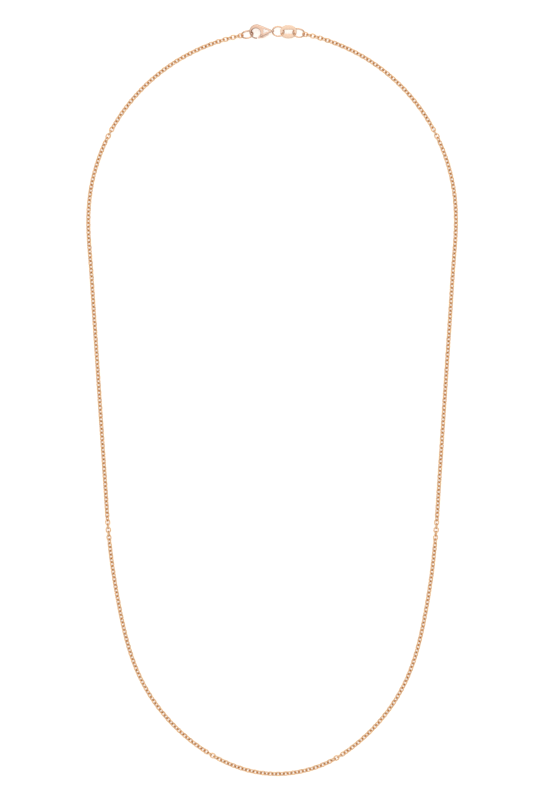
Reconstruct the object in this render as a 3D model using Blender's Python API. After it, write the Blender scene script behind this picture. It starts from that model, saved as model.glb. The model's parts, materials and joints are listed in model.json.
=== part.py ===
"""Rose-gold cable-chain necklace, closed and lying flat, built as an assembly.

The frame has its origin at the middle of the loop on the resting plane, +Y towards the clasp,
+Z up. Sizes are metres, written as millimetres times MM. The chain is a closed loop of plain
oval links. A run is a length of chain whose links are carried by one solid; neighbouring runs
are looped through one another and touch nowhere.
"""

import math

import bmesh
import bpy
from mathutils import Matrix, Vector

MM = 0.001

# Links
LINK_LENGTH = 1.648 * MM
LINK_WIDTH = 1.45 * MM
LINK_WIRE = 0.30 * MM
LINK_PITCH = LINK_LENGTH - 2 * LINK_WIRE
LINK_SEAT_GAP = 0.036 * MM
LINK_HALF_DEPTH = 0.16 * MM
LINK_END_OUTER = 0.40 * MM
LINK_END_INNER = 0.24 * MM
LINK_SIDE_RISE = 0.04 * MM

# Runs: one at the front of the loop, then the same number up each side
FRONT_LINKS = 9
RUN_LINKS = 10
RUNS_PER_SIDE = 23
LAST_LINK = (FRONT_LINKS - 1) // 2 + RUN_LINKS * RUNS_PER_SIDE
CHAIN_HALF = LAST_LINK * LINK_PITCH

# Loop outline from the front outwards: (length, radius) of tangent arcs, None is straight.
# The last arc of each side runs on to the clasp, and its radius closes the loop.
RIGHT_ARCS = ((20.0 * MM, 32.6 * MM), (36.8 * MM, 49.7 * MM), (32.6 * MM, 188 * MM), (81.8 * MM, None))
LEFT_ARCS = ((13.5 * MM, 32.6 * MM), (43.8 * MM, 49.7 * MM), (35.3 * MM, 188 * MM), (78.1 * MM, None))
TOP_RADIUS_RANGE = (45 * MM, 58 * MM)

# Twist of the chain about its own line, from the front out to each end of the chain
TWIST_AT_FRONT = math.radians(45)
TWIST_TURNS = ((18.5 * MM, 2.9 * MM, 90), (89.0 * MM, 5.5 * MM, -90), (199.0 * MM, 3.4 * MM, 90))
END_TURN = (CHAIN_HALF - 5.0 * MM, 4.5 * MM, 20)

# Clasp line: contact points between neighbouring pieces, left to right
CLASP_ORIGIN = Vector((0.02 * MM, 100.76 * MM, 0.0))
AXIS_HEIGHT = 1.33 * MM
RISE_LENGTH = 12 * MM
LEFT_END_CONTACT = (-8.41 * MM, -0.80 * MM)
HOOK_CONTACT = (-5.33 * MM, -0.26 * MM)
TAIL_CONTACT = (0.07 * MM, 0.42 * MM)
TAG_CENTRE = (4.45 * MM, 0.24 * MM)
RIGHT_END_CONTACT = (8.82 * MM, -0.42 * MM)
END_LINK_REACH = 0.29 * MM

# Closed rings
RING_RADIUS = 1.55 * MM
RING_WIRE = 0.38 * MM
HOOK_RING_TILT = math.radians(-47)
CLASP_RING_TILT = math.radians(-28)
TAG_RING_TILT = math.radians(-38)
RING_SEGMENTS = 24
RING_SIDES = 6

# Oval tag
TAG_LENGTH = 4.50 * MM
TAG_WIDTH = 3.75 * MM
TAG_THICKNESS = 0.30 * MM
TAG_SLOT_LENGTH = 3.16 * MM
TAG_SLOT_WIDTH = 1.14 * MM
SLOT_END_GAP = 0.12 * MM
TAG_TILT = math.radians(18)
TAG_POINTS = 24
TAG_SQUARENESS = 2.3
SLOT_SQUARENESS = 3.4

# Clasp body, in the clasp's own plane
HEAD_CENTRE = (-4.30 * MM, 0.27 * MM)
HEAD_RADIUS = 1.99 * MM
HEAD_HALF = 0.54 * MM
EDGE_BEVEL = 0.34 * MM
TAIL_CENTRE = (-0.60 * MM, 0.42 * MM)
TAIL_RADIUS = 0.45 * MM
TAIL_HALF = 0.46 * MM
CLAW_CENTRE = (-4.45 * MM, -0.08 * MM)
CLAW_RADIUS = 1.24 * MM
CLAW_FLAT_HALF = 0.18 * MM
CLAW_FLARE = (0.50, -0.33)
MOUTH_ANGLES = (math.radians(-80), math.radians(-46))
WINDOW_CORNERS = ((-2.44 * MM, 1.06 * MM), (-2.44 * MM, -0.34 * MM), (-0.70 * MM, 0.50 * MM))
WINDOW_ROUNDING = 0.10 * MM
LOOP_CENTRE_X = 0.08 * MM
LOOP_HALF_LENGTH = 0.48 * MM
LOOP_HALF_HEIGHT = 0.64 * MM
LOOP_WIDTH = 0.40 * MM
LOOP_WALL = 0.22 * MM
PIVOT = (-2.95 * MM, -0.80 * MM)
SLOT_HALF = 0.34 * MM
SLOT_CORNERS = (
    (-3.95 * MM, -1.95 * MM),
    (-2.45 * MM, -1.95 * MM),
    (-2.30 * MM, -0.95 * MM),
    (-2.42 * MM, -0.45 * MM),
    (-2.80 * MM, -0.28 * MM),
    (-3.10 * MM, -0.28 * MM),
    (-3.80 * MM, -0.70 * MM),
)

# Trigger, rivet and spring: the gate's tip is given about the head's centre
GATE_TIP_ANGLE = MOUTH_ANGLES[0] + math.radians(4)
GATE_RADII = (1.54 * MM, 1.93 * MM)
GATE_ROOT = (-3.60 * MM, -0.98 * MM)
HUB_RADIUS = 0.44 * MM
HUB_ANGLES = (math.radians(-10), math.radians(140))
LEVER_CORNERS = (
    (-3.20 * MM, -1.52 * MM),
    (-2.60 * MM, -1.50 * MM),
    (-1.10 * MM, -0.72 * MM),
    (-0.92 * MM, -0.50 * MM),
    (-1.10 * MM, -0.42 * MM),
    (-2.25 * MM, -1.03 * MM),
)
TRIGGER_Z = (-0.29 * MM, 0.13 * MM)
RIVET_RADIUS = 0.22 * MM
RIVET_HALF = 0.56 * MM
BORE_CLEARANCE = 0.04 * MM
SPRING_WIRE = 0.08 * MM
SPRING_RADIUS = 0.34 * MM
SPRING_Z = (0.19 * MM, 0.28 * MM)
SPRING_TURNS = 1.5
SPRING_LEG = 0.45 * MM
SPRING_STEPS = 18
SPRING_SIDES = 4

ROSE_GOLD = (0.83, 0.52, 0.38, 1.0)
SPRING_STEEL = (0.60, 0.58, 0.56, 1.0)


def clear_scene():
    for obj in list(bpy.data.objects):
        bpy.data.objects.remove(obj, do_unlink=True)


def metal(name, colour, roughness):
    material = bpy.data.materials.new(name)
    material.use_nodes = True
    shader = material.node_tree.nodes["Principled BSDF"]
    shader.inputs["Base Color"].default_value = colour
    shader.inputs["Metallic"].default_value = 1.0
    shader.inputs["Roughness"].default_value = roughness
    material.diffuse_color = colour
    return material


def add_object(name, vertices, faces, material, placement, smooth_angle=None):
    """An object whose mesh is given in its own frame and which stands at placement."""
    mesh = bpy.data.meshes.new(name)
    mesh.from_pydata([tuple(v) for v in vertices], [], faces)
    mesh.validate()
    obj = bpy.data.objects.new(name, mesh)
    bpy.context.scene.collection.objects.link(obj)
    if material:
        mesh.materials.append(material)
    if smooth_angle:
        mesh.shade_smooth()
        mesh.set_sharp_from_angle(angle=math.radians(smooth_angle))
    obj.matrix_world = placement
    return obj


def cut(target, cutter, operation="DIFFERENCE"):
    """Adds an exact Boolean to target; the cutter is hidden and drawn as wire."""
    modifier = target.modifiers.new(cutter.name, "BOOLEAN")
    modifier.object = cutter
    modifier.operation = operation
    modifier.solver = "EXACT"
    cutter.hide_render = True
    cutter.display_type = "WIRE"


# ---------------------------------------------------------------- chain line


def follow_arcs(arcs, distance, side):
    """Point and heading at a distance along tangent arcs that start at the front, going out to
    one side: +1 is right and turns left, -1 is left and turns right."""
    x, y, heading = 0.0, 0.0, 0.0
    for number, (length, radius) in enumerate(arcs):
        last = number == len(arcs) - 1
        step = distance if last else min(length, distance)
        if radius is None:
            x += step * math.cos(heading)
            y += step * math.sin(heading)
        else:
            turn = step / radius
            x += radius * (math.sin(heading + turn) - math.sin(heading))
            y += radius * (math.cos(heading) - math.cos(heading + turn))
            heading += turn
        distance -= step
        if distance <= 0:
            break
    return Vector((side * x, y, 0.0))


def flat_loop(top_radius, s):
    """Point of the outline at signed distance s from the front, before it is placed."""
    arcs = (RIGHT_ARCS if s >= 0 else LEFT_ARCS) + ((None, top_radius),)
    return follow_arcs(arcs, abs(s), 1 if s >= 0 else -1)


def end_link_targets():
    """Centres of the last links left and right, just outside the rings that hold them."""
    left, hook = Vector(LEFT_END_CONTACT + (0,)), Vector(HOOK_CONTACT + (0,))
    right, tag = Vector(RIGHT_END_CONTACT + (0,)), Vector(tag_slot_end(1) + (0,))
    outward_left = (left - hook).normalized()
    outward_right = (right - tag).normalized()
    return left + outward_left * END_LINK_REACH, right + outward_right * END_LINK_REACH


def tag_slot_end(side):
    """Where a ring's wire sits at one end of the tag's slot."""
    reach = TAG_SLOT_LENGTH / 2 - RING_WIRE / 2 - SLOT_END_GAP
    return TAG_CENTRE[0] + side * reach, TAG_CENTRE[1]


def closing_radius():
    """Radius of the top arcs for which the ends of the chain stand as far apart as the clasp
    assembly is long, found by halving the range."""
    left, right = end_link_targets()
    gap = (right - left).length
    small, large = TOP_RADIUS_RANGE
    for _ in range(60):
        middle = (small + large) / 2
        ends = flat_loop(middle, CHAIN_HALF) - flat_loop(middle, -CHAIN_HALF)
        if ends.x > gap:
            large = middle
        else:
            small = middle
    return (small + large) / 2


TOP_RADIUS = closing_radius()


def loop_placement():
    """Carries the outline so that its two ends meet the clasp assembly."""
    left, right = end_link_targets()
    loose_left = flat_loop(TOP_RADIUS, -CHAIN_HALF)
    loose = flat_loop(TOP_RADIUS, CHAIN_HALF) - loose_left
    wanted = right - left
    turn = math.atan2(wanted.y, wanted.x) - math.atan2(loose.y, loose.x)
    rotation = Matrix.Rotation(turn, 4, "Z")
    return Matrix.Translation(CLASP_ORIGIN + left) @ rotation @ Matrix.Translation(-loose_left)


PLACEMENT = loop_placement()


def smooth_step(x):
    x = min(max(x, 0.0), 1.0)
    return x * x * (3 - 2 * x)


def twist(s):
    """Roll of the chain about its own line at signed distance s from the front."""
    angle = TWIST_AT_FRONT
    for centre, half_width, turn in TWIST_TURNS + (END_TURN,):
        angle += math.radians(turn) * smooth_step((abs(s) - centre + half_width) / (2 * half_width))
    return angle


def chain_point(s):
    """Point of the chain's centre line: each link just touches the resting plane, and the line
    rises to the clasp at both ends."""
    point = PLACEMENT @ flat_loop(TOP_RADIUS, s)
    roll = twist(s)
    half_width = LINK_WIDTH / 2 + LINK_SIDE_RISE - LINK_WIRE / 2
    reach = half_width * max(abs(math.sin(roll)), abs(math.cos(roll)))
    resting = LINK_WIRE / 2 + reach
    rise = smooth_step((abs(s) - CHAIN_HALF + RISE_LENGTH) / RISE_LENGTH)
    point.z = resting + (AXIS_HEIGHT - resting) * rise
    return point


def link_frame(number):
    """Placement of a link: X along the chain, Y across the link's width, Z through its hole."""
    s = number * LINK_PITCH
    step = LINK_PITCH / 2
    forward = (chain_point(s + step) - chain_point(s - step)).normalized()
    across = Vector((0, 0, 1)).cross(forward).normalized()
    upright = forward.cross(across)
    roll = twist(s) + (math.pi / 2 if number % 2 else 0.0)
    width = across * math.cos(roll) + upright * math.sin(roll)
    hole = forward.cross(width)
    rotation = Matrix((forward, width, hole)).transposed().to_4x4()
    return Matrix.Translation(chain_point(s)) @ rotation


# ---------------------------------------------------------------- chain runs


def link_stations():
    """Six corners of the link's outer edge and of its inner edge, anticlockwise from the
    right-hand end; a flat faces each end."""
    end, side = LINK_LENGTH / 2, LINK_WIDTH / 2 + LINK_SIDE_RISE
    seat, bore = LINK_PITCH / 2 + LINK_SEAT_GAP, LINK_WIDTH / 2 - LINK_WIRE + LINK_SIDE_RISE
    outer, inner = [], []
    for x, sign in ((1, -1), (1, 1), (0, 1), (-1, 1), (-1, -1), (0, -1)):
        outer.append((x * end, sign * (LINK_END_OUTER if x else side)))
        inner.append((x * seat, sign * (LINK_END_INNER if x else bore)))
    return outer, inner


def add_link(vertices, faces, frame, joined_before, joined_after):
    """Adds one six-sided link of three-sided wire, leaving out the inner face at an end that is
    joined to its neighbour. Returns the corners of both inner end faces."""
    outer, inner = link_stations()
    first = len(vertices)
    for (xo, yo), (xi, yi) in zip(outer, inner):
        vertices.append(frame @ Vector((xo, yo, 0)))
        vertices.append(frame @ Vector((xi, yi, LINK_HALF_DEPTH)))
        vertices.append(frame @ Vector((xi, yi, -LINK_HALF_DEPTH)))
    seats = {}
    for station in range(6):
        here, there = first + 3 * station, first + 3 * ((station + 1) % 6)
        faces.append((here, there, there + 1, here + 1))
        faces.append((there, here, here + 2, there + 2))
        seat = (here + 1, there + 1, there + 2, here + 2)
        seats[station] = seat
        joined = (station == 0 and joined_after) or (station == 3 and joined_before)
        if not joined:
            faces.append(seat)
    return seats[0], seats[3]


def join_seats(vertices, faces, ahead, behind):
    """Bridges the facing seats of two neighbouring links where their wires touch."""

    def spread(offset):
        return sum((vertices[ahead[k]] - vertices[behind[(offset - k) % 4]]).length for k in range(4))

    offset = min(range(4), key=spread)
    for k in range(4):
        nearer = behind[(offset - k - 1) % 4]
        faces.append((ahead[k], ahead[(k + 1) % 4], nearer, behind[(offset - k) % 4]))


def add_run(name, first, last, origin, material):
    """A solid run of links, numbered along the chain, whose object stands at origin."""
    vertices, faces, before = [], [], None
    for number in range(first, last + 1):
        ahead, behind = add_link(
            vertices, faces, link_frame(number), number > first, number < last
        )
        if before:
            join_seats(vertices, faces, before, behind)
        before = ahead
    return add_object(name, [v - origin for v in vertices], faces, material, Matrix.Translation(origin))


def run_joint(side, number):
    """Point where run `number` of a side hangs in the run before it."""
    links = (FRONT_LINKS - 1) / 2 + 0.5 + RUN_LINKS * (number - 1)
    return chain_point(side * links * LINK_PITCH)


def build_chain(material):
    half = (FRONT_LINKS - 1) // 2
    add_run("front_run", -half, half, chain_point(0.0), material)
    for number in range(1, RUNS_PER_SIDE + 1):
        near = half + 1 + RUN_LINKS * (number - 1)
        far = half + RUN_LINKS * number
        add_run(f"right_run_{number:02d}", near, far, run_joint(1, number), material)
        add_run(f"left_run_{number:02d}", -far, -near, run_joint(-1, number), material)


# ---------------------------------------------------------------- rings and tag


def line_frame(start, end, tilt):
    """Placement midway between two points of the clasp line, X along it, rolled by tilt."""
    start, end = Vector(start + (AXIS_HEIGHT,)), Vector(end + (AXIS_HEIGHT,))
    yaw = math.atan2(end.y - start.y, end.x - start.x)
    middle = CLASP_ORIGIN + (start + end) / 2
    return Matrix.Translation(middle) @ Matrix.Rotation(yaw, 4, "Z") @ Matrix.Rotation(tilt, 4, "X")


def add_ring(name, start, end, tilt, material):
    """A closed round ring whose wire passes through both contact points."""
    vertices, faces = [], []
    for i in range(RING_SEGMENTS):
        turn = 2 * math.pi * i / RING_SEGMENTS
        for j in range(RING_SIDES):
            around = 2 * math.pi * j / RING_SIDES
            reach = RING_RADIUS + RING_WIRE / 2 * math.cos(around)
            height = RING_WIRE / 2 * math.sin(around)
            vertices.append((reach * math.cos(turn), reach * math.sin(turn), height))
    for i in range(RING_SEGMENTS):
        for j in range(RING_SIDES):
            here, there = i * RING_SIDES, (i + 1) % RING_SEGMENTS * RING_SIDES
            up = (j + 1) % RING_SIDES
            faces.append((here + j, there + j, there + up, here + up))
    return add_object(name, vertices, faces, material, line_frame(start, end, tilt), smooth_angle=70)


def ellipse(half_length, half_width, points, power=2.0):
    """Points of an oval; a higher power makes it squarer."""
    outline = []
    for i in range(points):
        c, s = math.cos(2 * math.pi * i / points), math.sin(2 * math.pi * i / points)
        x = math.copysign(abs(c) ** (2 / power), c) * half_length
        y = math.copysign(abs(s) ** (2 / power), s) * half_width
        outline.append((x, y))
    return outline


def add_tag(material):
    """Oval plate with one long slot for the two rings."""
    outer = ellipse(TAG_LENGTH / 2, TAG_WIDTH / 2, TAG_POINTS, TAG_SQUARENESS)
    slot = ellipse(TAG_SLOT_LENGTH / 2, TAG_SLOT_WIDTH / 2, TAG_POINTS, SLOT_SQUARENESS)
    half = TAG_THICKNESS / 2
    vertices = [(x, y, z) for outline in (outer, slot) for z in (half, -half) for x, y in outline]
    n = TAG_POINTS
    faces = []
    for i in range(n):
        k = (i + 1) % n
        faces.append((i, k, 2 * n + k, 2 * n + i))
        faces.append((n + k, n + i, 3 * n + i, 3 * n + k))
        faces.append((k, i, n + i, n + k))
        faces.append((2 * n + i, 2 * n + k, 3 * n + k, 3 * n + i))
    start = (TAG_CENTRE[0] - MM, TAG_CENTRE[1])
    end = (TAG_CENTRE[0] + MM, TAG_CENTRE[1])
    return add_object("tag", vertices, faces, material, line_frame(start, end, TAG_TILT), smooth_angle=40)


# ---------------------------------------------------------------- clasp


def clasp_frame():
    """The clasp's own plane: its origin is on the clasp line, above CLASP_ORIGIN."""
    return Matrix.Translation(CLASP_ORIGIN + Vector((0, 0, AXIS_HEIGHT)))


def circle(centre, radius, points, start=0.0, sweep=2 * math.pi):
    """Points on an arc; a full circle doesn't repeat its first point."""
    steps = points if abs(sweep) >= 2 * math.pi - 1e-9 else points - 1
    return [
        (
            centre[0] + radius * math.cos(start + sweep * i / steps),
            centre[1] + radius * math.sin(start + sweep * i / steps),
        )
        for i in range(points)
    ]


def rounded(corners, radius, points=4):
    """A polygon with anticlockwise corners, each rounded by an arc."""
    outline = []
    for i, corner in enumerate(corners):
        before = Vector(corners[i - 1]) - Vector(corner)
        after = Vector(corners[(i + 1) % len(corners)]) - Vector(corner)
        half = before.angle(after) / 2
        inward = (before.normalized() + after.normalized()).normalized()
        centre = Vector(corner) + inward * radius / math.sin(half)
        start = math.atan2(before.x, -before.y)
        sweep = math.pi - 2 * half
        outline += circle(centre, radius, points, start, sweep)
    return outline


def prism(name, outline, low, high, material=None, placement=None):
    """An anticlockwise outline carried from z = low to z = high."""
    n = len(outline)
    vertices = [(x, y, low) for x, y in outline] + [(x, y, high) for x, y in outline]
    faces = [tuple(reversed(range(n))), tuple(range(n, 2 * n))]
    faces += [(i, (i + 1) % n, n + (i + 1) % n, n + i) for i in range(n)]
    return add_object(name, vertices, faces, material, placement or clasp_frame())


def pear_hull(name, material):
    """Convex pear: a bevelled disc at the head and a smaller one at the tail."""
    mesh = bpy.data.meshes.new(name)
    bm = bmesh.new()
    for centre, radius, half, points in (
        (HEAD_CENTRE, HEAD_RADIUS, HEAD_HALF, 28),
        (TAIL_CENTRE, TAIL_RADIUS, TAIL_HALF, 12),
    ):
        bevel = min(EDGE_BEVEL, radius * 0.4)
        for z, r in ((half - bevel, radius), (half, radius - bevel)):
            for x, y in circle(centre, r, points):
                bm.verts.new((x, y, z))
                bm.verts.new((x, y, -z))
    hull = bmesh.ops.convex_hull(bm, input=bm.verts)
    loose = set(hull["geom_interior"]) | set(hull["geom_unused"])
    bmesh.ops.delete(bm, geom=[g for g in loose if isinstance(g, bmesh.types.BMVert)])
    bmesh.ops.dissolve_limit(bm, angle_limit=math.radians(1), verts=bm.verts, edges=bm.edges)
    bmesh.ops.recalc_face_normals(bm, faces=bm.faces)
    bm.to_mesh(mesh)
    bm.free()
    mesh.materials.append(material)
    obj = bpy.data.objects.new(name, mesh)
    bpy.context.scene.collection.objects.link(obj)
    obj.matrix_world = clasp_frame()
    return obj


def upright_frame(y):
    """Local x along the clasp, local y up, local z along the clasp's -Y."""
    return clasp_frame() @ Matrix.Translation((0, y, 0)) @ Matrix.Rotation(math.pi / 2, 4, "X")


def flared_bore(name, centre, radius, flat_half, flare, reach):
    """A round cutter that widens above and below its straight middle; flare gives, for each unit
    of height, how much the radius grows and how far the centre shifts along X."""
    loops = []
    rise = reach - flat_half
    for z, height in ((-reach, rise), (-flat_half, 0), (flat_half, 0), (reach, rise)):
        middle = (centre[0] + flare[1] * height, centre[1])
        loops.append([(x, y, z) for x, y in circle(middle, radius + flare[0] * height, 24)])
    n = len(loops[0])
    faces = [tuple(reversed(range(n))), tuple(range(3 * n, 4 * n))]
    for ring in range(3):
        low, high = ring * n, (ring + 1) * n
        faces += [(low + i, low + (i + 1) % n, high + (i + 1) % n, high + i) for i in range(n)]
    vertices = [v for loop in loops for v in loop]
    return add_object(name, vertices, faces, None, clasp_frame())


def build_clasp_body(material):
    body = pear_hull("clasp_body", material)
    # tail loop, bored across so that the clasp ring can lie almost flat in it
    loop = ellipse(LOOP_HALF_LENGTH, LOOP_HALF_HEIGHT, 20)
    loop_outline = [(LOOP_CENTRE_X + x, z) for x, z in loop]
    tail_y = upright_frame(TAIL_CENTRE[1])
    half = LOOP_WIDTH / 2
    cut(body, prism("tail_loop_form", loop_outline, -half, half, None, tail_y), "UNION")
    bore = ellipse(LOOP_HALF_LENGTH - LOOP_WALL, LOOP_HALF_HEIGHT - LOOP_WALL, 16)
    bore_outline = [(LOOP_CENTRE_X + x, z) for x, z in bore]
    cut(body, prism("tail_loop_bore", bore_outline, -MM, MM, None, tail_y))
    # claw opening with its inner edges eased, its mouth, and the window between claw and tail
    through = 2 * HEAD_HALF
    claw = flared_bore("claw_opening", CLAW_CENTRE, CLAW_RADIUS, CLAW_FLAT_HALF, CLAW_FLARE, through)
    cut(body, claw)
    mouth_sweep = MOUTH_ANGLES[1] - MOUTH_ANGLES[0]
    mouth = [CLAW_CENTRE] + circle(HEAD_CENTRE, 2 * HEAD_RADIUS, 3, MOUTH_ANGLES[0], mouth_sweep)
    cut(body, prism("claw_mouth", mouth, -through, through))
    window = rounded(WINDOW_CORNERS, WINDOW_ROUNDING)
    cut(body, prism("tail_window", window, -through, through))
    # slot between the cheeks for the trigger, and the rivet's bore
    cut(body, prism("trigger_slot", SLOT_CORNERS, -SLOT_HALF, SLOT_HALF))
    rivet_bore = circle(PIVOT, RIVET_RADIUS + BORE_CLEARANCE, 16)
    cut(body, prism("rivet_bore", rivet_bore, -through, through))
    return body


def pivot_frame():
    """The trigger's pivot, with its axis along Z."""
    return clasp_frame() @ Matrix.Translation(PIVOT + (0,))


def build_trigger(material):
    """Gate, hub and thumb lever in one flat piece, with its origin on the pivot."""
    tip_inner, tip_outer = (
        [(HEAD_CENTRE[0] + r * math.cos(GATE_TIP_ANGLE), HEAD_CENTRE[1] + r * math.sin(GATE_TIP_ANGLE))]
        for r in GATE_RADII
    )
    hub = circle(PIVOT, HUB_RADIUS, 6, HUB_ANGLES[0], HUB_ANGLES[1] - HUB_ANGLES[0])
    outline = tip_outer + list(LEVER_CORNERS) + hub + [GATE_ROOT] + tip_inner
    local = [(x - PIVOT[0], y - PIVOT[1]) for x, y in outline]
    trigger = prism("clasp_trigger", local, *TRIGGER_Z, material, pivot_frame())
    bore = circle((0, 0), RIVET_RADIUS + BORE_CLEARANCE, 16)
    cut(trigger, prism("trigger_bore", bore, -MM, MM, None, pivot_frame()))
    return trigger


def build_rivet(material):
    shank = circle((0, 0), RIVET_RADIUS, 16)
    return prism("trigger_rivet", shank, -RIVET_HALF, RIVET_HALF, material, pivot_frame())


def build_spring(material):
    """Torsion spring round the rivet, above the trigger: a coil with two straight legs."""
    low, high = SPRING_Z
    steps, sides = SPRING_STEPS, SPRING_SIDES
    path = [Vector((SPRING_RADIUS, -SPRING_LEG, low))]
    for i in range(steps + 1):
        turn = 2 * math.pi * SPRING_TURNS * i / steps
        z = low + (high - low) * i / steps
        path.append(Vector((SPRING_RADIUS * math.cos(turn), SPRING_RADIUS * math.sin(turn), z)))
    path.append(Vector((-SPRING_RADIUS, -SPRING_LEG, high)))
    vertices, faces = [], []
    for i, point in enumerate(path):
        before, after = path[max(i - 1, 0)], path[min(i + 1, len(path) - 1)]
        forward = (after - before).normalized()
        across = forward.cross(Vector((0, 0, 1))).normalized()
        upright = across.cross(forward)
        for j in range(sides):
            around = math.pi / 4 + 2 * math.pi * j / sides
            offset = across * math.cos(around) + upright * math.sin(around)
            vertices.append(point + offset * SPRING_WIRE / 2)
    for i in range(len(path) - 1):
        for j in range(sides):
            k = (j + 1) % sides
            faces.append((i * sides + k, i * sides + j, (i + 1) * sides + j, (i + 1) * sides + k))
    faces.append(tuple(range(sides)))
    faces.append(tuple(reversed(range(len(vertices) - sides, len(vertices)))))
    return add_object("trigger_spring", vertices, faces, material, pivot_frame())


def hang_on_axis(name, placement, children):
    """An empty on a joint's axis that carries pieces without moving them."""
    axis = bpy.data.objects.new(name, None)
    bpy.context.scene.collection.objects.link(axis)
    axis.matrix_world = placement
    for child in children:
        child.parent = axis
        child.matrix_parent_inverse = placement.inverted()


def build():
    clear_scene()
    gold = metal("rose_gold", ROSE_GOLD, 0.18)
    steel = metal("spring_steel", SPRING_STEEL, 0.30)
    build_chain(gold)
    add_ring("hook_ring", LEFT_END_CONTACT, HOOK_CONTACT, HOOK_RING_TILT, gold)
    add_ring("clasp_ring", TAIL_CONTACT, tag_slot_end(-1), CLASP_RING_TILT, gold)
    add_ring("tag_ring", tag_slot_end(1), RIGHT_END_CONTACT, TAG_RING_TILT, gold)
    add_tag(gold)
    clasp = (build_clasp_body(gold), build_trigger(gold), build_rivet(gold), build_spring(steel))
    hang_on_axis("clasp_roll_axis", line_frame(HOOK_CONTACT, TAIL_CONTACT, 0), clasp)


build()
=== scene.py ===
"""Looks of the rose-gold cable-chain necklace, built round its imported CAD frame.

Every link of the chain is made here as its own oval of round wire, and the links of a run ride
on that run's body. The clasp, its trigger, rivet and spring, the oval tag and the three rings
are remade with the rounded edges of cast and drawn metal. Lengths are millimetres until a mesh
is finished; MM turns them into the frame's metres.
"""

import json
import math
import random

import bmesh
import bpy
import numpy as np
from mathutils import Matrix, Vector


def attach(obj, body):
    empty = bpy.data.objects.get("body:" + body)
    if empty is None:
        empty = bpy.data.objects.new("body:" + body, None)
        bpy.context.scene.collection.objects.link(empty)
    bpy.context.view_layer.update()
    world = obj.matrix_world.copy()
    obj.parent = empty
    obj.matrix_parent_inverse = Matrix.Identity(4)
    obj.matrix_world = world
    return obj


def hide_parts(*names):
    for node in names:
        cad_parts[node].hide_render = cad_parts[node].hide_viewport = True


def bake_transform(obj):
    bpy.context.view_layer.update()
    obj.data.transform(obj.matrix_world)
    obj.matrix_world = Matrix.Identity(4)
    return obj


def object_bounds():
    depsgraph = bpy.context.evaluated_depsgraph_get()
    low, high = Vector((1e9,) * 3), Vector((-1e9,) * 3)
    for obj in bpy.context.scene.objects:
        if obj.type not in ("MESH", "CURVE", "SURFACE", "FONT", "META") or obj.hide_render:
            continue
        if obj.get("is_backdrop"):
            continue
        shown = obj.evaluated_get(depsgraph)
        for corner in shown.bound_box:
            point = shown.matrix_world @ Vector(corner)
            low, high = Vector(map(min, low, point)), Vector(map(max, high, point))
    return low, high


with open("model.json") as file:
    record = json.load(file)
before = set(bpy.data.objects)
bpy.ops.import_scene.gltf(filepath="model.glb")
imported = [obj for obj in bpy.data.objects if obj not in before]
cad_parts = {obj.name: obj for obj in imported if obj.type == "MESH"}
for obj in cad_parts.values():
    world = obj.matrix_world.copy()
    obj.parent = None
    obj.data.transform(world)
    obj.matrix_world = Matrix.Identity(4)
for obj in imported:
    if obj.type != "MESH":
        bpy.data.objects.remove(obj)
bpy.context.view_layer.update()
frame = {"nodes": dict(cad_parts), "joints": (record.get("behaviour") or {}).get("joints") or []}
JOINTS = {joint["name"]: joint for joint in frame["joints"]}

MM = 0.001

# Chain: an oval link of round wire, and how many links each run holds. The wire and the link's
# width are a little over CAD's, whose three-sided wire looks thinner; the pitch is the same.
LINK_LENGTH = 1.728
LINK_WIDTH = 1.52
LINK_WIRE = 0.34
LINK_PITCH = LINK_LENGTH - 2 * LINK_WIRE
LINK_STEPS = 28
LINK_SIDES = 10
FRONT_LINKS = 9
RUN_LINKS = 10
RUNS_PER_SIDE = 23
FRONT_HALF = (FRONT_LINKS - 1) // 2
LAST_LINK = FRONT_HALF + RUN_LINKS * RUNS_PER_SIDE
CHAIN_HALF = LAST_LINK * LINK_PITCH
END_LINK_REACH = 0.29
SIDE_RISE = 0.04
TONE_SEED = 11
TONE_SPREAD = 0.4

# Twist of the chain about its own line: (distance from the front, half width, turn in degrees).
# Over the last RISE_LENGTH the chain climbs from the table to the rings' height. SIDE_RISE is the
# room left under the links' sides.
TWIST_AT_FRONT = math.radians(45)
TWIST_TURNS = ((18.5, 2.9, 90), (89.0, 5.5, -90), (199.0, 3.4, 90), (CHAIN_HALF - 5.0, 4.5, 20))
RISE_LENGTH = 12

# Soldered joints: the solder's width and swelling, and on rings the line of the cut. Widths are
# millimetres along a link's wire and radians round a ring.
SOLDER_WIDTH = 0.16
SOLDER_SWELL = 0.05
SEAM_WIDTH = 0.035
SEAM_DEPTH = 0.06

# Rings: the wire is 0.04 over CAD's and grows outwards, so the inner edge stays where it is
RING_RADIUS = 1.55
RING_WIRE = 0.42
RING_OUTWARD = 0.02
RING_STEPS = 96
RING_SIDES = 20
RING_SEAM_ANGLES = {"hook_ring": 100, "clasp_ring": 250, "tag_ring": 80}

# Oval tag
TAG_LENGTH = 4.50
TAG_WIDTH = 3.75
TAG_THICKNESS = 0.30
TAG_SLOT_LENGTH = 3.16
TAG_SLOT_WIDTH = 1.14
TAG_SQUARENESS = 2.3
SLOT_SQUARENESS = 3.4
TAG_EDGE = 0.10
TAG_EDGE_ANGLES = (0, 22.5, 45, 67.5, 90)
TAG_CROWN = 0.035
TAG_CROWN_STEPS = 8
TAG_POINTS = 120

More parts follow.
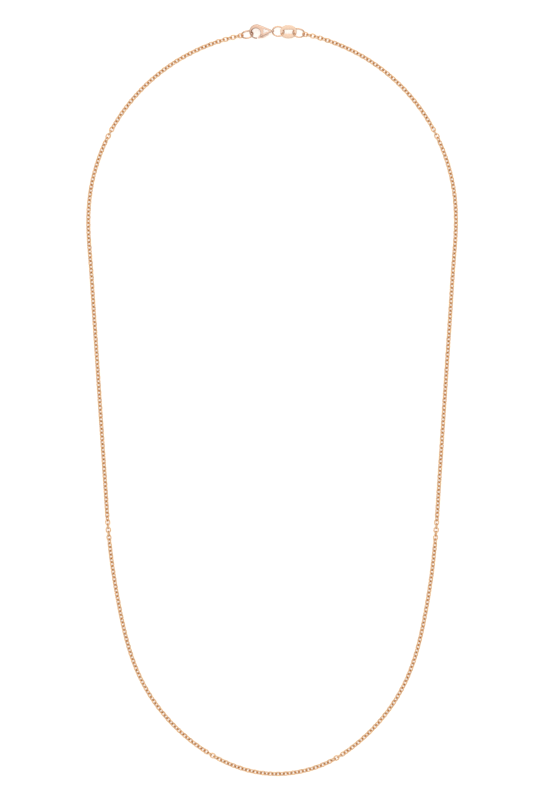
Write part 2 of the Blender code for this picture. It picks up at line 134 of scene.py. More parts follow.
# Clasp, in its own level plane; PIVOT is where the trigger turns
PIVOT = (-2.95, -0.80)
HEAD_CENTRE = (-4.30, 0.27)
HEAD_RADIUS = 1.99
HEAD_HALF = 0.54
HEAD_EDGE = 0.34
TAIL_CENTRE = (-0.60, 0.42)
TAIL_RADIUS = 0.45
TAIL_HALF = 0.46
CLAW_CENTRE = (-4.45, -0.08)
CLAW_RADIUS = 1.24
CLAW_FLAT_HALF = 0.18
CLAW_FLARE = (0.50, -0.33)
MOUTH_ANGLES = (math.radians(-80), math.radians(-46))
WINDOW_CORNERS = ((-2.44, 1.06), (-2.44, -0.34), (-0.70, 0.50))
WINDOW_ROUNDING = 0.10
LOOP_CENTRE_X = 0.08
LOOP_HALF_LENGTH = 0.48
LOOP_HALF_HEIGHT = 0.64
LOOP_WIDTH = 0.40
LOOP_WALL = 0.22
SLOT_HALF = 0.34
SLOT_CORNERS = (
    (-3.95, -1.95),
    (-2.45, -1.95),
    (-2.30, -0.95),
    (-2.42, -0.45),
    (-2.80, -0.28),
    (-3.10, -0.28),
    (-3.80, -0.70),
)
GATE_TIP_ANGLE = MOUTH_ANGLES[0] + math.radians(4)
GATE_RADII = (1.54, 1.93)
GATE_ROOT = (-3.60, -0.98)
HUB_RADIUS = 0.44
HUB_ANGLES = (math.radians(-10), math.radians(140))
LEVER_CORNERS = (
    (-3.20, -1.52),
    (-2.60, -1.50),
    (-1.10, -0.72),
    (-0.92, -0.50),
    (-1.10, -0.42),
    (-2.25, -1.03),
)
TRIGGER_Z = (-0.29, 0.13)
RIVET_RADIUS = 0.22
RIVET_HALF = 0.56
RIVET_DOME = 0.05
RIVET_STEPS = 40
BORE_CLEARANCE = 0.04
BORE_REACH = 1.0
BORE_POINTS = 32
SPRING_WIRE = 0.08
SPRING_RADIUS = 0.34
SPRING_Z = (0.19, 0.28)
SPRING_TURNS = 1.5
SPRING_LEG = 0.45
SPRING_STEPS = 72
SPRING_SIDES = 10

# Remeshing that rounds the clasp's edges: voxel size and rounds of smoothing
BODY_MESHING = (0.032, 8)
TRIGGER_MESHING = (0.024, 12)

# Metals: deep and pale tone, roughness, strength of the surface grain
METALS = {
    "rose_gold_wire": ((0.95, 0.57, 0.29), (0.97, 0.63, 0.34), 0.13, 0.10),
    "rose_gold_ring": ((0.91, 0.57, 0.37), (0.94, 0.63, 0.43), 0.14, 0.10),
    "rose_gold_cast": ((0.80, 0.53, 0.40), (0.84, 0.59, 0.45), 0.17, 0.22),
    "rose_gold_plate": ((0.90, 0.64, 0.47), (0.93, 0.68, 0.51), 0.15, 0.16),
}
SOLDER_COLOUR = (0.93, 0.66, 0.52, 1)
SOLDER_ROUGHNESS = 0.12
# Painted shade: the darker colour mixed into the metal where other metal is near, at link
# crossings and hollows, and how far off that metal may be
CREVICE_SHADE_COLOUR = (0.74, 0.42, 0.20, 1)
CREVICE_SHADE_REACH = 0.40

# Studio, in metres, with the lens and the sensor in millimetres. The height that the picture
# shows is measured at the chain's own height.
VIEW_LENS = 200.0
VIEW_HEIGHT_SHOWN = 0.2194
VIEW_CHAIN_HEIGHT = 0.00066
VIEW_SHIFT = Vector((0.00079, 0.00009, 0.0))
VIEW_SENSOR = 36.0
HORIZON_BAND = 0.10
HORIZON_GLOW = 0.40
OVERHEAD_GLOW = 1.08
KEY_PLACE = (0.15, 0.70, 0.80)
KEY_SIZE = (1.0, 0.5)
KEY_POWER = 1.2
FLOOR_HALF = 3.0
FLOOR_GAP = 0.00001
FLOOR_GLOW = 0.60
WARM_BOUNCE = (1.0, 0.93, 0.85)


# ---------------------------------------------------------------- materials


def new_material(name):
    """A material with its Principled shader, and a function that adds nodes to it."""
    material = bpy.data.materials.new(name)
    material.use_nodes = True
    tree = material.node_tree
    shader = tree.nodes["Principled BSDF"]

    def add(kind, inputs=(), **settings):
        node = tree.nodes.new(kind)
        for key, value in settings.items():
            setattr(node, key, value)
        for key, value in dict(inputs).items():
            if isinstance(value, bpy.types.NodeSocket):
                tree.links.new(value, node.inputs[key])
            else:
                node.inputs[key].default_value = value
        return node

    return material, tree, shader, add


def object_coordinates(add, scale=(1.0, 1.0, 1.0)):
    """Object coordinates for a texture, stretched by scale."""
    coordinates = add("ShaderNodeTexCoord")
    return add(
        "ShaderNodeMapping", {"Vector": coordinates.outputs["Object"], "Scale": scale}
    ).outputs["Vector"]


def rose_gold(name, deep, pale, roughness, grain):
    """Polished rose gold: drifting alloy tone, paler solder, painted shade that darkens the
    colour in crevices, hairline scratches and a fine surface grain. A link's own tone comes from
    the attribute 'tone'."""
    material, tree, shader, add = new_material(name)
    place = object_coordinates(add)
    drift = add("ShaderNodeTexNoise", {"Vector": place, "Scale": 420.0, "Detail": 3.0})
    tone = add("ShaderNodeAttribute", attribute_name="tone")
    mixed = add(
        "ShaderNodeMath",
        {0: drift.outputs["Fac"], 1: tone.outputs["Fac"]},
        operation="ADD",
    )
    ramp = add("ShaderNodeValToRGB", {"Fac": mixed.outputs[0]})
    ramp.color_ramp.elements[0].position = 0.30
    ramp.color_ramp.elements[0].color = deep + (1,)
    ramp.color_ramp.elements[1].position = 1.20
    ramp.color_ramp.elements[1].color = pale + (1,)
    solder = add("ShaderNodeAttribute", attribute_name="solder")
    colour = add(
        "ShaderNodeMix",
        {
            "Factor": solder.outputs["Fac"],
            "A": ramp.outputs["Color"],
            "B": SOLDER_COLOUR,
        },
        data_type="RGBA",
    )
    # Painted shade: where ambient occlusion finds metal close by, the colour turns to the crevice
    # shade colour
    nearby = add("ShaderNodeAmbientOcclusion", {"Distance": CREVICE_SHADE_REACH * MM}, samples=6)
    openness = add(
        "ShaderNodeMapRange",
        {"Value": nearby.outputs["AO"], "From Min": 0.15, "From Max": 0.75},
    )
    crevice_shaded = add(
        "ShaderNodeMix",
        {
            "Factor": openness.outputs["Result"],
            "A": CREVICE_SHADE_COLOUR,
            "B": colour.outputs["Result"],
        },
        data_type="RGBA",
    )
    tree.links.new(crevice_shaded.outputs["Result"], shader.inputs["Base Color"])

    smudge = add("ShaderNodeTexNoise", {"Vector": place, "Scale": 1500.0, "Detail": 4.0})
    rough = add(
        "ShaderNodeMapRange",
        {"Value": smudge.outputs["Fac"], "To Min": roughness * 0.6, "To Max": roughness * 1.5},
    )
    rougher = add(
        "ShaderNodeMath",
        {0: solder.outputs["Fac"], 1: SOLDER_ROUGHNESS, 2: rough.outputs["Result"]},
        operation="MULTIPLY_ADD",
    )
    tree.links.new(rougher.outputs[0], shader.inputs["Roughness"])

    streaks = object_coordinates(add, (1.0, 0.06, 1.0))
    scratch = add("ShaderNodeTexNoise", {"Vector": streaks, "Scale": 26000.0, "Detail": 2.0})
    pits = add("ShaderNodeTexNoise", {"Vector": place, "Scale": 9000.0, "Detail": 4.0})
    relief = add(
        "ShaderNodeMath",
        {0: scratch.outputs["Fac"], 1: 0.4, 2: pits.outputs["Fac"]},
        operation="MULTIPLY_ADD",
    )
    bump = add(
        "ShaderNodeBump",
        {"Height": relief.outputs[0], "Strength": grain, "Distance": 0.012 * MM},
    )
    tree.links.new(bump.outputs["Normal"], shader.inputs["Normal"])
    shader.inputs["Metallic"].default_value = 1.0
    return material


def spring_steel():
    """Drawn spring wire: pale grey with fine lines."""
    material, tree, shader, add = new_material("spring_steel")
    place = object_coordinates(add)
    lines = add("ShaderNodeTexNoise", {"Vector": place, "Scale": 16000.0, "Detail": 3.0})
    ramp = add("ShaderNodeValToRGB", {"Fac": lines.outputs["Fac"]})
    ramp.color_ramp.elements[0].color = (0.42, 0.40, 0.39, 1)
    ramp.color_ramp.elements[1].color = (0.66, 0.64, 0.62, 1)
    tree.links.new(ramp.outputs["Color"], shader.inputs["Base Color"])
    bump = add(
        "ShaderNodeBump",
        {"Height": lines.outputs["Fac"], "Strength": 0.2, "Distance": 0.004 * MM},
    )
    tree.links.new(bump.outputs["Normal"], shader.inputs["Normal"])
    shader.inputs["Metallic"].default_value = 1.0
    shader.inputs["Roughness"].default_value = 0.28
    return material


# ---------------------------------------------------------------- pieces


def add_piece(name, vertices, faces, body, node, material, slot="rose_gold", **attributes):
    """A smooth piece given in the row frame in millimetres; it rides on body, if one is named,
    and stands in node's place."""
    mesh = bpy.data.meshes.new(name)
    mesh.from_pydata((np.asarray(vertices) * MM).tolist(), [], faces)
    mesh.materials.append(material)
    mesh.shade_smooth()
    for key, values in attributes.items():
        layer = mesh.attributes.new(key, "FLOAT", "POINT")
        layer.data.foreach_set("value", np.asarray(values, np.float32))
    obj = bpy.data.objects.new(name, mesh)
    bpy.context.scene.collection.objects.link(obj)
    if body:
        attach(obj, body)
    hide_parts(node)
    return obj


def tube(line, normals, radii, sides):
    """Vertices and faces of a closed tube round a flat closed line."""
    steps = len(line)
    around = np.arange(sides) * 2 * math.pi / sides
    vertices = np.zeros((steps, sides, 3))
    outwards = (radii[:, None] * np.cos(around))[..., None]
    vertices[:, :, :2] = line[:, None] + normals[:, None] * outwards
    vertices[:, :, 2] = radii[:, None] * np.sin(around)
    faces = []
    for i in range(steps):
        here, there = i * sides, (i + 1) % steps * sides
        for j in range(sides):
            up = (j + 1) % sides
            faces.append((here + j, there + j, there + up, here + up))
    return vertices.reshape(-1, 3), faces


def solder_mark(place, centre, width=SOLDER_WIDTH):
    """1 on a soldered joint, falling to 0 over width, for places along a link or round a ring."""
    return np.exp(-(((place - centre) / width) ** 2))


# ---------------------------------------------------------------- chain


def end_link(ring_joint, side):
    """Centre of the last link of a side, just outside the ring that holds it."""
    joint = JOINTS[ring_joint]
    centre = Vector(joint["pos_m"]) / MM
    axis = Vector(joint["axis"])
    return centre + axis * side * (RING_RADIUS + END_LINK_REACH)


def knots():
    """Known points of the chain's line: both ends and every joint between runs, as distances
    from the front and places."""
    places = {
        -CHAIN_HALF: end_link("hook_ring_roll", -1),
        CHAIN_HALF: end_link("tag_ring_roll", 1),
    }
    for number in range(1, RUNS_PER_SIDE + 1):
        distance = (FRONT_HALF + 0.5 + RUN_LINKS * (number - 1)) * LINK_PITCH
        places[distance] = Vector(JOINTS[f"right_fold_{number:02d}"]["pos_m"]) / MM
        places[-distance] = Vector(JOINTS[f"left_fold_{number:02d}"]["pos_m"]) / MM
    distances = sorted(places)
    return np.array(distances), np.array([places[d][:2] for d in distances])


def curvature(distances, places):
    """Second derivatives at the knots of the smooth cubic through them, the outermost two
    stretches on each side being one cubic."""
    count = len(distances)
    step = np.diff(distances)
    slope = np.diff(places, axis=0) / step[:, None]
    system = np.zeros((count, count))
    right = np.zeros((count, 2))
    for i in range(1, count - 1):
        system[i, i - 1 : i + 2] = step[i - 1], 2 * (step[i - 1] + step[i]), step[i]
        right[i] = 6 * (slope[i] - slope[i - 1])
    system[0, :3] = -step[1], step[0] + step[1], -step[0]
    system[-1, -3:] = -step[-1], step[-2] + step[-1], -step[-2]
    return np.linalg.solve(system, right)


KNOT_DISTANCES, KNOT_PLACES = knots()
KNOT_CURVATURE = curvature(KNOT_DISTANCES, KNOT_PLACES)
AXIS_HEIGHT = JOINTS["hook_ring_roll"]["pos_m"][2] / MM


def smooth_step(x):
    """0 up to 0 and 1 from 1 on, with a smooth change between them."""
    x = min(max(x, 0.0), 1.0)
    return x * x * (3 - 2 * x)


def twist(s):
    """Roll of the chain about its own line at signed distance s from the front."""
    angle = TWIST_AT_FRONT
    for centre, half_width, turn in TWIST_TURNS:
        share = (abs(s) - centre + half_width) / (2 * half_width)
        angle += math.radians(turn) * smooth_step(share)
    return angle


def chain_point(s):
    """Point of the chain's centre line at signed distance s from the front."""
    i = int(np.clip(np.searchsorted(KNOT_DISTANCES, s) - 1, 0, len(KNOT_DISTANCES) - 2))
    step = KNOT_DISTANCES[i + 1] - KNOT_DISTANCES[i]
    b = (s - KNOT_DISTANCES[i]) / step
    a = 1 - b
    x, y = (
        a * KNOT_PLACES[i]
        + b * KNOT_PLACES[i + 1]
        + ((a**3 - a) * KNOT_CURVATURE[i] + (b**3 - b) * KNOT_CURVATURE[i + 1]) * step**2 / 6
    )
    roll = twist(s)
    half_width = (LINK_WIDTH - LINK_WIRE) / 2 + SIDE_RISE
    resting = LINK_WIRE / 2 + half_width * max(abs(math.sin(roll)), abs(math.cos(roll)))
    rise = smooth_step((abs(s) - CHAIN_HALF + RISE_LENGTH) / RISE_LENGTH)
    return Vector((x, y, resting + (AXIS_HEIGHT - resting) * rise))


def link_frame(number):
    """Placement of a link: X along the chain, Y across the link's width, Z through its hole."""
    s = number * LINK_PITCH
    forward = (chain_point(s + LINK_PITCH / 2) - chain_point(s - LINK_PITCH / 2)).normalized()
    across = Vector((0, 0, 1)).cross(forward).normalized()
    upright = forward.cross(across)
    roll = twist(s) + (math.pi / 2 if number % 2 else 0.0)
    width = across * math.cos(roll) + upright * math.sin(roll)
    hole = forward.cross(width)
    turned = Matrix((forward, width, hole)).transposed().to_4x4()
    return Matrix.Translation(chain_point(s)) @ turned


def link_shape():
    """One link of round wire with a soldered joint on one side: two half circles joined by two
    short straights."""
    bend = (LINK_WIDTH - LINK_WIRE) / 2
    straight = LINK_LENGTH - LINK_WIDTH
    whole = 2 * math.pi * bend + 2 * straight
    line, normals = [], []
    for i in range(LINK_STEPS):
        along = (i + 0.5) / LINK_STEPS * whole
        half = whole / 2
        side = 1 if along < half else -1
        along %= half
        angle = max(along - straight, 0.0) / bend
        x = side * (straight / 2 + bend * math.sin(angle) if angle else along - straight / 2)
        line.append((x, -side * bend * math.cos(angle)))
        normals.append((side * math.sin(angle), -side * math.cos(angle)))
    place = (np.arange(LINK_STEPS) + 0.5) / LINK_STEPS * whole
    solder = solder_mark(place, straight / 2)
    radii = LINK_WIRE / 2 * (1 + SOLDER_SWELL * solder)
    vertices, faces = tube(np.array(line), np.array(normals), radii, LINK_SIDES)
    return vertices, faces, np.repeat(solder, LINK_SIDES)


LINK_VERTICES, LINK_FACES, LINK_SOLDER = link_shape()


def add_run(node, first, last, material, tones):
    """The links of one run, each a separate closed oval. Every other pair is turned over, which
    puts its soldered joints on the other side."""
    vertices, faces, tone = [], [], []
    for number in range(first, last + 1):
        placement = np.array(link_frame(number))
        if number // 2 % 2:
            placement[:3, 1:3] *= -1
        start = len(vertices) * len(LINK_VERTICES)
        vertices.append(LINK_VERTICES @ placement[:3, :3].T + placement[:3, 3])
        faces += [tuple(start + k for k in face) for face in LINK_FACES]
        tone += [tones.uniform(0.0, TONE_SPREAD)] * len(LINK_VERTICES)
    solder = np.tile(LINK_SOLDER, len(vertices))
    vertices = np.concatenate(vertices)
    add_piece(f"{node}_links", vertices, faces, node, node, material, solder=solder, tone=tone)


def build_chain(material):
    """All the runs: the front one, then pairs of runs from the front to the clasp."""
    tones = random.Random(TONE_SEED)
    add_run("front_run", -FRONT_HALF, FRONT_HALF, material, tones)
    for number in range(1, RUNS_PER_SIDE + 1):
        near = FRONT_HALF + 1 + RUN_LINKS * (number - 1)
        far = FRONT_HALF + RUN_LINKS * number
        add_run(f"right_run_{number:02d}", near, far, material, tones)
        add_run(f"left_run_{number:02d}", -far, -near, material, tones)


# ---------------------------------------------------------------- rings and tag


def flat_placement(node, joint_name):
    """Placement of a flat CAD node: origin and X from its joint, Z square to its face."""
    joint = JOINTS[joint_name]
    origin = Vector(joint["pos_m"]) / MM
    along = Vector(joint["axis"]).normalized()
    points = np.array([v.co for v in frame["nodes"][node].data.vertices]) / MM
    points = points - points.mean(0)
    normal = Vector(np.linalg.eigh(points.T @ points)[1][:, 0])
    if normal.z < 0:
        normal.negate()
    normal = (normal - along * normal.dot(along)).normalized()
    across = normal.cross(along)
    return Matrix.Translation(origin) @ Matrix((along, across, normal)).transposed().to_4x4()


def add_ring(node, material, seam_angle):
    """A closed ring of round wire with a soldered seam: a low bead and the line of the cut."""
    turn = np.arange(RING_STEPS) * 2 * math.pi / RING_STEPS
    seam = math.radians(seam_angle)
    distance = (turn - seam + math.pi) % (2 * math.pi) - math.pi
    solder = solder_mark(distance, 0.0)
    cut = solder_mark(distance, 0.0, SEAM_WIDTH)
    radii = RING_WIRE / 2 * (1 + SOLDER_SWELL * solder - SEAM_DEPTH * cut)
    normals = np.stack((np.cos(turn), np.sin(turn)), axis=1)
    line = normals * (RING_RADIUS + RING_OUTWARD)
    vertices, faces = tube(line, normals, radii, RING_SIDES)
    placement = np.array(flat_placement(node, f"{node}_roll"))
    vertices = vertices @ placement[:3, :3].T + placement[:3, 3]
    solder = np.repeat(solder, RING_SIDES)
    add_piece(f"{node}_wire", vertices, faces, node, node, material, solder=solder)


def oval(half_length, half_width, power, points):
    """Points of an oval and its outward directions; a higher power makes it squarer."""
    turn = np.arange(points) * 2 * math.pi / points
    c, s = np.cos(turn), np.sin(turn)
    x = np.sign(c) * np.abs(c) ** (2 / power) * half_length
    y = np.sign(s) * np.abs(s) ** (2 / power) * half_width
    line = np.stack((x, y), axis=1)
    ahead = np.roll(line, -1, axis=0) - np.roll(line, 1, axis=0)
    outward = np.stack((ahead[:, 1], -ahead[:, 0]), axis=1)
    return line, outward / np.linalg.norm(outward, axis=1)[:, None]


def add_tag(material):
    """Oval plate with one long slot: its faces are a little crowned and its edges rounded."""
    outer, outward = oval(TAG_LENGTH / 2, TAG_WIDTH / 2, TAG_SQUARENESS, TAG_POINTS)
    slot, inward = oval(TAG_SLOT_LENGTH / 2, TAG_SLOT_WIDTH / 2, SLOT_SQUARENESS, TAG_POINTS)
    half = TAG_THICKNESS / 2
    rims = []
    for line, normal, sign in ((outer, outward, -1), (slot, inward, 1)):
        rim = []
        for angle in map(math.radians, TAG_EDGE_ANGLES):
            inset = TAG_EDGE * (1 - math.cos(angle))
            height = half - TAG_CROWN - TAG_EDGE + TAG_EDGE * math.sin(angle)
            rim.append((line + sign * normal * inset, height))
        rims.append(rim)
    outer_rim, slot_rim = rims
    face = []
    edge, hole = outer_rim[-1][0], slot_rim[-1][0]
    for k in range(1, TAG_CROWN_STEPS):
        share = k / TAG_CROWN_STEPS
        crown = TAG_CROWN * (1 - (2 * share - 1) ** 2)
        face.append((edge + (hole - edge) * share, half - TAG_CROWN + crown))
    top = outer_rim + face + slot_rim[::-1]
    bottom = [(points, -z) for points, z in top[::-1]]
    loops = top + bottom
    vertices = np.concatenate(
        [np.column_stack((points, np.full(TAG_POINTS, z))) for points, z in loops]
    )
    faces = []
    for i in range(len(loops)):
        here, there = i * TAG_POINTS, (i + 1) % len(loops) * TAG_POINTS
        for j in range(TAG_POINTS):
            k = (j + 1) % TAG_POINTS
            faces.append((here + j, here + k, there + k, there + j))
    placement = np.array(flat_placement("tag", "tag_roll"))
    vertices = vertices @ placement[:3, :3].T + placement[:3, 3]
    add_piece("tag_plate", vertices, faces, "tag", "tag", material)


# ---------------------------------------------------------------- clasp


def clasp_origin():
    """The clasp's plane lies level; its origin follows from the trigger's pivot."""
    return Vector(JOINTS["trigger_swing"]["pos_m"]) / MM - Vector(PIVOT + (0.0,))


def circle(centre, radius, points, start=0.0, sweep=2 * math.pi):
    """Points on an arc; a full circle doesn't repeat its first point."""
    steps = points if abs(sweep) >= 2 * math.pi - 1e-9 else points - 1
    angles = [start + sweep * i / steps for i in range(points)]
    return [(centre[0] + radius * math.cos(a), centre[1] + radius * math.sin(a)) for a in angles]


def rounded(corners, radius, points=8):
    """A polygon with anticlockwise corners, each rounded by an arc."""
    outline = []
    for i, corner in enumerate(corners):
        before = Vector(corners[i - 1]) - Vector(corner)
        after = Vector(corners[(i + 1) % len(corners)]) - Vector(corner)
        half = before.angle(after) / 2
        inward = (before.normalized() + after.normalized()).normalized()
        centre = Vector(corner) + inward * radius / math.sin(half)
        start = math.atan2(before.x, -before.y)
        outline += circle(centre, radius, points, start, math.pi - 2 * half)
    return outline


def form(name, mesh):
    """A working solid in millimetres, used to shape a piece and then removed."""
    obj = bpy.data.objects.new(name, mesh)
    bpy.context.scene.collection.objects.link(obj)
    return obj


def prism(name, outline, low, high, upright_at=None):
    """An anticlockwise outline carried from low to high, or standing across the clasp at y."""
    n = len(outline)
    vertices = [(x, y, low) for x, y in outline] + [(x, y, high) for x, y in outline]
    if upright_at is not None:
        vertices = [(x, upright_at - z, y) for x, y, z in vertices]
    faces = [tuple(reversed(range(n))), tuple(range(n, 2 * n))]
    faces += [(i, (i + 1) % n, n + (i + 1) % n, n + i) for i in range(n)]
    mesh = bpy.data.meshes.new(name)
    mesh.from_pydata(vertices, [], faces)
    return form(name, mesh)


def flared_bore(reach):
    """The claw's opening: straight in the middle, widening and shifting towards both faces."""
    grow, shift = CLAW_FLARE
    rise = reach - CLAW_FLAT_HALF
    loops = []
    for z, height in ((-reach, rise), (-CLAW_FLAT_HALF, 0), (CLAW_FLAT_HALF, 0), (reach, rise)):
        middle = (CLAW_CENTRE[0] + shift * height, CLAW_CENTRE[1])
        loops.append([(x, y, z) for x, y in circle(middle, CLAW_RADIUS + grow * height, 96)])
    n = len(loops[0])
    faces = [tuple(reversed(range(n))), tuple(range(3 * n, 4 * n))]
    for ring in range(3):
        low, high = ring * n, (ring + 1) * n
        faces += [(low + i, low + (i + 1) % n, high + (i + 1) % n, high + i) for i in range(n)]
    mesh = bpy.data.meshes.new("claw")
    mesh.from_pydata([v for loop in loops for v in loop], [], faces)
    return form("claw", mesh)


def pear():
    """Convex pear: a round-edged disc at the head and a smaller one at the tail."""
    bm = bmesh.new()
    for centre, radius, half in (
        (HEAD_CENTRE, HEAD_RADIUS, HEAD_HALF),
        (TAIL_CENTRE, TAIL_RADIUS, TAIL_HALF),
    ):
        edge = min(HEAD_EDGE, radius * 0.6)
        for step in range(5):
            angle = math.radians(90) * step / 4
            reach = radius - edge * (1 - math.cos(angle))
            height = half - edge * (1 - math.sin(angle))
            for x, y in circle(centre, reach, 72):
                bm.verts.new((x, y, height))
                bm.verts.new((x, y, -height))
    hull = bmesh.ops.convex_hull(bm, input=bm.verts)
    loose = set(hull["geom_interior"]) | set(hull["geom_unused"])
    bmesh.ops.delete(bm, geom=[g for g in loose if isinstance(g, bmesh.types.BMVert)])
    bmesh.ops.recalc_face_normals(bm, faces=bm.faces)
    mesh = bpy.data.meshes.new("pear")
    bm.to_mesh(mesh)
    bm.free()
    return form("pear", mesh)


def shape(base, cuts, voxel, smoothing):
    """Carries out the cuts on base, then remeshes it finely and rounds every edge. Gives back
    its vertices, in the row frame, and its faces, and removes the working solids."""
    for cutter, operation in cuts:
        modifier = base.modifiers.new(cutter.name, "BOOLEAN")
        modifier.object = cutter
        modifier.operation = operation
        modifier.solver = "EXACT"
    remesh = base.modifiers.new("remesh", "REMESH")
    remesh.mode = "VOXEL"
    remesh.voxel_size = voxel
    smooth = base.modifiers.new("smooth", "SMOOTH")
    smooth.factor = 0.5
    smooth.iterations = smoothing
    evaluated = base.evaluated_get(bpy.context.evaluated_depsgraph_get())
    mesh = evaluated.to_mesh()
    vertices = np.zeros(len(mesh.vertices) * 3)
    mesh.vertices.foreach_get("co", vertices)
    faces = [tuple(p.vertices) for p in mesh.polygons]
    evaluated.to_mesh_clear()
    for obj in [base] + [cutter for cutter, _ in cuts]:
        bpy.data.objects.remove(obj, do_unlink=True)
    return vertices.reshape(-1, 3) + np.array(clasp_origin()), faces


def build_clasp_body(material):
    """Cast body: pear with a claw, its mouth, a window, the trigger's slot and a tail loop."""
    through = 2 * HEAD_HALF
    half = LOOP_WIDTH / 2
    loop = circle((0, 0), 1.0, 48)
    outer = [(LOOP_CENTRE_X + x * LOOP_HALF_LENGTH, z * LOOP_HALF_HEIGHT) for x, z in loop]
    bore_length, bore_height = LOOP_HALF_LENGTH - LOOP_WALL, LOOP_HALF_HEIGHT - LOOP_WALL
    inner = [(LOOP_CENTRE_X + x * bore_length, z * bore_height) for x, z in loop]
    window = rounded(WINDOW_CORNERS, WINDOW_ROUNDING)
    mouth_sweep = MOUTH_ANGLES[1] - MOUTH_ANGLES[0]
    mouth = [CLAW_CENTRE] + circle(HEAD_CENTRE, 2 * HEAD_RADIUS, 3, MOUTH_ANGLES[0], mouth_sweep)
    bore = circle(PIVOT, RIVET_RADIUS + BORE_CLEARANCE, BORE_POINTS)
    cuts = (
        (prism("loop", outer, -half, half, TAIL_CENTRE[1]), "UNION"),
        (prism("loop_bore", inner, -BORE_REACH, BORE_REACH, TAIL_CENTRE[1]), "DIFFERENCE"),
        (flared_bore(through), "DIFFERENCE"),
        (prism("mouth", mouth, -through, through), "DIFFERENCE"),
        (prism("window", window, -through, through), "DIFFERENCE"),
        (prism("slot", SLOT_CORNERS, -SLOT_HALF, SLOT_HALF), "DIFFERENCE"),
        (prism("bore", bore, -through, through), "DIFFERENCE"),
    )
    vertices, faces = shape(pear(), cuts, *BODY_MESHING)
    add_piece("clasp_frame", vertices, faces, "clasp_body", "clasp_body", material)


def build_trigger(material):
    """Gate, hub and thumb lever in one piece, turning on the rivet."""
    tip_inner, tip_outer = (circle(HEAD_CENTRE, r, 1, GATE_TIP_ANGLE) for r in GATE_RADII)
    hub = circle(PIVOT, HUB_RADIUS, 16, HUB_ANGLES[0], HUB_ANGLES[1] - HUB_ANGLES[0])
    outline = tip_outer + list(LEVER_CORNERS) + hub + [GATE_ROOT] + tip_inner
    bore = circle(PIVOT, RIVET_RADIUS + BORE_CLEARANCE, BORE_POINTS)
    cuts = ((prism("bore", bore, -BORE_REACH, BORE_REACH), "DIFFERENCE"),)
    vertices, faces = shape(prism("trigger", outline, *TRIGGER_Z), cuts, *TRIGGER_MESHING)
    add_piece("clasp_lever", vertices, faces, "clasp_trigger", "clasp_trigger", material)


def build_rivet(material):
    """Rivet with two low domed heads, turned from one profile."""
    profile = [(0.0, RIVET_HALF)]
    for step in range(1, 6):
        angle = math.radians(90) * step / 5
        fall = RIVET_DOME * (1 - math.cos(angle))
        profile.append((RIVET_RADIUS * math.sin(angle), RIVET_HALF - fall))
    profile += [(r, -z) for r, z in profile[::-1]]
    vertices, faces = [], []
    for radius, height in profile:
        for x, y in circle(PIVOT, radius, RIVET_STEPS):
            vertices.append((x, y, height))
    for ring in range(len(profile) - 1):
        for i in range(RIVET_STEPS):
            k = (i + 1) % RIVET_STEPS
            here, there = ring * RIVET_STEPS, (ring + 1) * RIVET_STEPS
            faces.append((here + i, there + i, there + k, here + k))
    vertices = np.array(vertices) + np.array(clasp_origin())
    piece = add_piece("rivet_pin", vertices, faces, "clasp_body", "trigger_rivet", material)
    bm = bmesh.new()
    bm.from_mesh(piece.data)
    bmesh.ops.remove_doubles(bm, verts=bm.verts, dist=1e-7)
    bm.to_mesh(piece.data)
    bm.free()


def build_spring(material):
    """Torsion spring of round wire: a coil round the rivet with two straight legs. It rides on no
    body."""
    low, high = SPRING_Z
    path = [Vector((SPRING_RADIUS, -SPRING_LEG, low))]
    for i in range(SPRING_STEPS + 1):
        turn = 2 * math.pi * SPRING_TURNS * i / SPRING_STEPS
        x, y = SPRING_RADIUS * math.cos(turn), SPRING_RADIUS * math.sin(turn)
        path.append(Vector((x, y, low + (high - low) * i / SPRING_STEPS)))
    path.append(Vector((-SPRING_RADIUS, -SPRING_LEG, high)))
    sides = SPRING_SIDES
    vertices, faces = [], []
    for i, point in enumerate(path):
        forward = (path[min(i + 1, len(path) - 1)] - path[max(i - 1, 0)]).normalized()
        across = forward.cross(Vector((0, 0, 1))).normalized()
        upright = across.cross(forward)
        for j in range(sides):
            around = 2 * math.pi * j / sides
            outwards = across * math.cos(around) + upright * math.sin(around)
            vertices.append(point + outwards * SPRING_WIRE / 2)
    for i in range(len(path) - 1):
        for j in range(sides):
            k = (j + 1) % sides
            faces.append((i * sides + k, i * sides + j, (i + 1) * sides + j, (i + 1) * sides + k))
    faces.append(tuple(range(sides)))
    faces.append(tuple(reversed(range(len(vertices) - sides, len(vertices)))))
    origin = clasp_origin() + Vector(PIVOT + (0.0,))
    vertices = np.array([v + origin for v in vertices])
    piece = add_piece(
        "spring_coil", vertices, faces, None, "trigger_spring", material, "spring_steel"
    )
    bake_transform(piece)


# ---------------------------------------------------------------- studio


def build_camera(centre):
    """Straight down on the necklace, with the clasp at the top of the picture."""
    data = bpy.data.cameras.new("camera")
    data.lens = VIEW_LENS
    data.sensor_width = VIEW_SENSOR
    distance = VIEW_HEIGHT_SHOWN * VIEW_LENS / VIEW_SENSOR
    data.clip_start, data.clip_end = distance / 100, distance * 10
    camera = bpy.data.objects.new("camera", data)
    camera.location = centre + VIEW_SHIFT + Vector((0, 0, VIEW_CHAIN_HEIGHT + distance))
    bpy.context.scene.collection.objects.link(camera)
    bpy.context.scene.camera = camera


def build_key_light(aim):
    """Soft light from beyond the clasp; it casts the faint shadows."""
    data = bpy.data.lights.new("key", "AREA")
    data.shape = "RECTANGLE"
    data.size, data.size_y = KEY_SIZE
    data.energy = KEY_POWER
    light = bpy.data.objects.new("key", data)
    light.location = KEY_PLACE
    light.rotation_mode = "QUATERNION"
    light.rotation_quaternion = (aim - Vector(KEY_PLACE)).to_track_quat("-Z", "Y")
    bpy.context.scene.collection.objects.link(light)


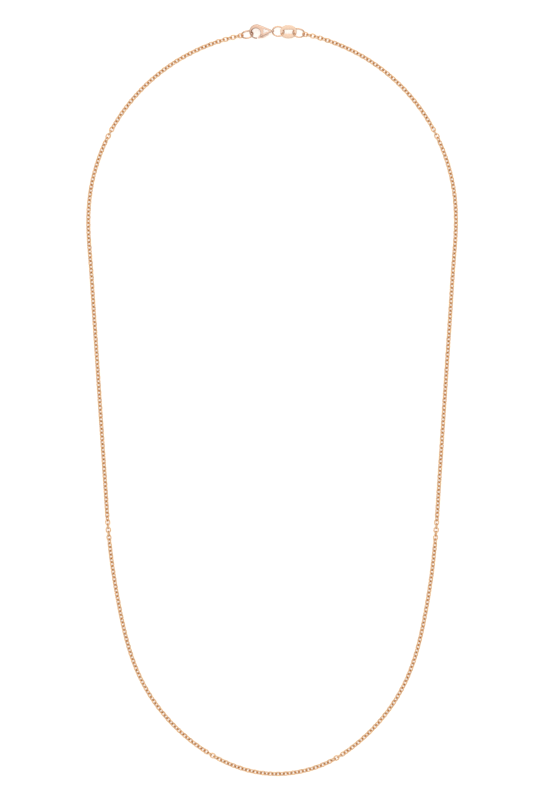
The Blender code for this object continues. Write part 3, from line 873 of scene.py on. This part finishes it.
def floor_material():
    """Matt white card with a trace of paper grain. A warm glow that only the camera sees lifts it
    to white and keeps its shadows pale."""
    material, tree, shader, add = new_material("white_card")
    place = object_coordinates(add)
    grain = add("ShaderNodeTexNoise", {"Vector": place, "Scale": 900.0, "Detail": 3.0})
    ramp = add("ShaderNodeValToRGB", {"Fac": grain.outputs["Fac"]})
    ramp.color_ramp.elements[0].color = (0.74, 0.74, 0.74, 1)
    ramp.color_ramp.elements[1].color = (0.76, 0.76, 0.76, 1)
    tree.links.new(ramp.outputs["Color"], shader.inputs["Base Color"])
    shader.inputs["Roughness"].default_value = 0.9
    shader.inputs["Specular IOR Level"].default_value = 0.1
    path = add("ShaderNodeLightPath")
    glow = add(
        "ShaderNodeMath",
        {0: path.outputs["Is Camera Ray"], 1: FLOOR_GLOW},
        operation="MULTIPLY",
    )
    tree.links.new(glow.outputs[0], shader.inputs["Emission Strength"])
    shader.inputs["Emission Color"].default_value = WARM_BOUNCE + (1,)
    return material


def build_world():
    """A white room that is bright overhead and dimmer towards the horizon."""
    world = bpy.data.worlds.new("studio")
    world.use_nodes = True
    tree = world.node_tree
    coordinates = tree.nodes.new("ShaderNodeTexCoord")
    parts = tree.nodes.new("ShaderNodeSeparateXYZ")
    tree.links.new(coordinates.outputs["Generated"], parts.inputs["Vector"])
    fall = tree.nodes.new("ShaderNodeMapRange")
    fall.interpolation_type = "SMOOTHSTEP"
    tree.links.new(parts.outputs["Z"], fall.inputs["Value"])
    fall.inputs["From Min"].default_value = HORIZON_BAND
    fall.inputs["To Min"].default_value = HORIZON_GLOW
    fall.inputs["To Max"].default_value = OVERHEAD_GLOW
    background = tree.nodes["Background"]
    background.inputs["Color"].default_value = (1, 1, 1, 1)
    tree.links.new(fall.outputs["Result"], background.inputs["Strength"])
    bpy.context.scene.world = world


def build_floor(level):
    """A level square of card at the given height."""
    mesh = bpy.data.meshes.new("floor")
    signs = ((-1, -1), (1, -1), (1, 1), (-1, 1))
    corners = [(x * FLOOR_HALF, y * FLOOR_HALF, level) for x, y in signs]
    mesh.from_pydata(corners, [], [(0, 1, 2, 3)])
    mesh.materials.append(floor_material())
    floor = bpy.data.objects.new("floor", mesh)
    bpy.context.scene.collection.objects.link(floor)
    floor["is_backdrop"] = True


def build_studio():
    """Floor, world, light and camera, placed from the necklace's own bounds."""
    low, high = (Vector(corner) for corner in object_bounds())
    centre = (low + high) / 2
    build_floor(low.z - FLOOR_GAP)
    build_world()
    build_key_light(centre)
    build_camera(Vector((centre.x, centre.y, low.z)))
    bpy.context.scene.view_settings.view_transform = "Standard"


def build():
    wire, ring, cast, plate = (rose_gold(name, *look) for name, look in METALS.items())
    build_chain(wire)
    for node, seam_angle in RING_SEAM_ANGLES.items():
        add_ring(node, ring, seam_angle)
    add_tag(plate)
    build_clasp_body(cast)
    build_trigger(cast)
    build_rivet(cast)
    build_spring(spring_steel())
    build_studio()


build()
